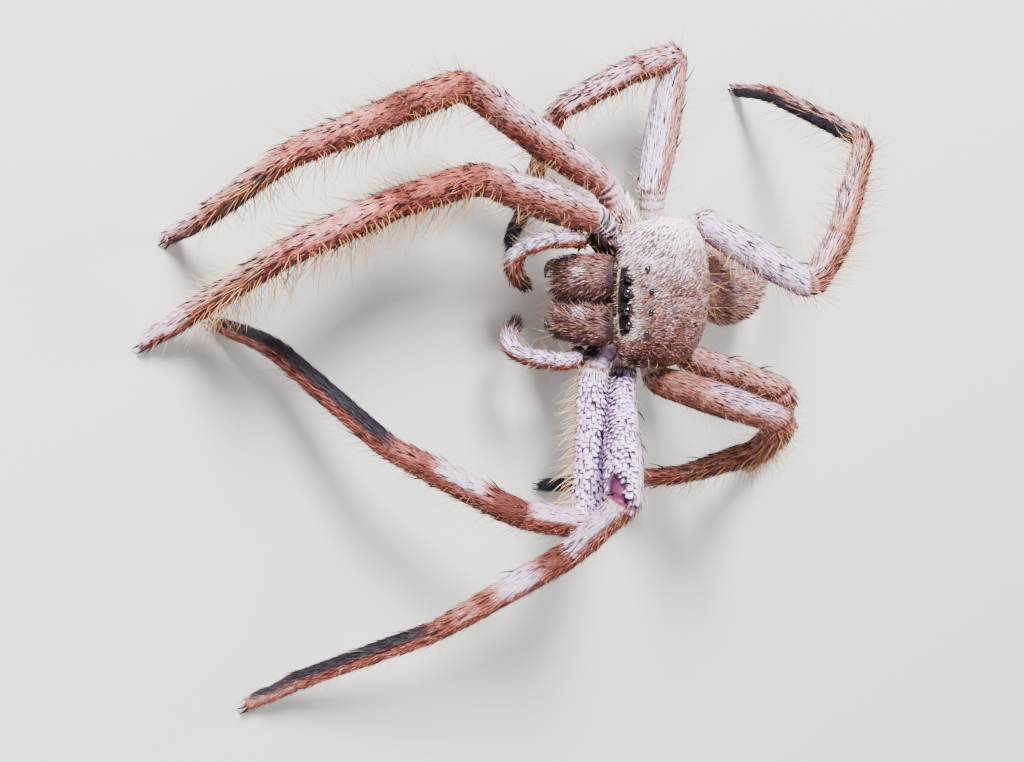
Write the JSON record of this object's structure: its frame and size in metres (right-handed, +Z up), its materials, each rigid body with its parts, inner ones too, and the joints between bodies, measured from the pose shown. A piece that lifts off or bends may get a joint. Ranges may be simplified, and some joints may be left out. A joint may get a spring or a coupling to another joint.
{
  "type": "huntsman spider model",
  "caption": "Life-size still model of a huntsman spider standing with long legs swept forward, hairy body, domed shield, stout jaws and round eyes",
  "frame": {"origin": "bottom centre of the box round the whole spider, on the floor under it", "axes": "+Z up, the spider's head points to -Y, its left side to +X"},
  "size_m": [0.0588, 0.0798, 0.0226],
  "materials": {
    "fur": "soft short fur over cuticle, pinkish tan with lilac-white light side, fine dark dashes",
    "leg": "short fur over cuticle, reddish pink and lilac, dark dots and dashes, long pale setae",
    "foot": "dense dark scopula brush under the foot",
    "jaw": "haired cuticle, pinkish grey with dark dashes along its length",
    "fang": "polished black-brown cuticle",
    "eye": "wet black lens"
  },
  "bodies": {
    "root": {"abdomen": "fur", "carapace": "fur", "chelicera_L": "jaw", "chelicera_R": "jaw", "eye_back_mid_L": "eye", "eye_back_mid_R": "eye", "eye_back_side_L": "eye", "eye_back_side_R": "eye", "eye_front_mid_L": "eye", "eye_front_mid_R": "eye", "eye_front_side_L": "eye", "eye_front_side_R": "eye", "fang_L": "fang", "fang_R": "fang", "leg_L1_coxa": "leg", "leg_L1_femur": "leg", "leg_L1_metatarsus": "leg", "leg_L1_tarsus": "foot", "leg_L1_tibia": "leg", "leg_L2_coxa": "leg", "leg_L2_femur": "leg", "leg_L2_metatarsus": "leg", "leg_L2_tarsus": "foot", "leg_L2_tibia": "leg", "leg_L3_coxa": "leg", "leg_L3_femur": "leg", "leg_L3_metatarsus": "leg", "leg_L3_tarsus": "foot", "leg_L3_tibia": "leg", "leg_L4_coxa": "leg", "leg_L4_femur": "leg", "leg_L4_metatarsus": "leg", "leg_L4_tarsus": "foot", "leg_L4_tibia": "leg", "leg_R1_coxa": "leg", "leg_R1_femur": "leg", "leg_R1_metatarsus": "leg", "leg_R1_tarsus": "foot", "leg_R1_tibia": "leg", "leg_R2_coxa": "leg", "leg_R2_femur": "leg", "leg_R2_metatarsus": "leg", "leg_R2_tarsus": "foot", "leg_R2_tibia": "leg", "leg_R3_coxa": "leg", "leg_R3_femur": "leg", "leg_R3_metatarsus": "leg", "leg_R3_tarsus": "foot", "leg_R3_tibia": "leg", "leg_R4_coxa": "leg", "leg_R4_femur": "leg", "leg_R4_metatarsus": "leg", "leg_R4_tarsus": "foot", "leg_R4_tibia": "leg", "palp_L_femur": "leg", "palp_L_tarsus": "foot", "palp_R_femur": "leg", "palp_R_tarsus": "foot", "sternum": "fur"}
  },
  "joints": []
}
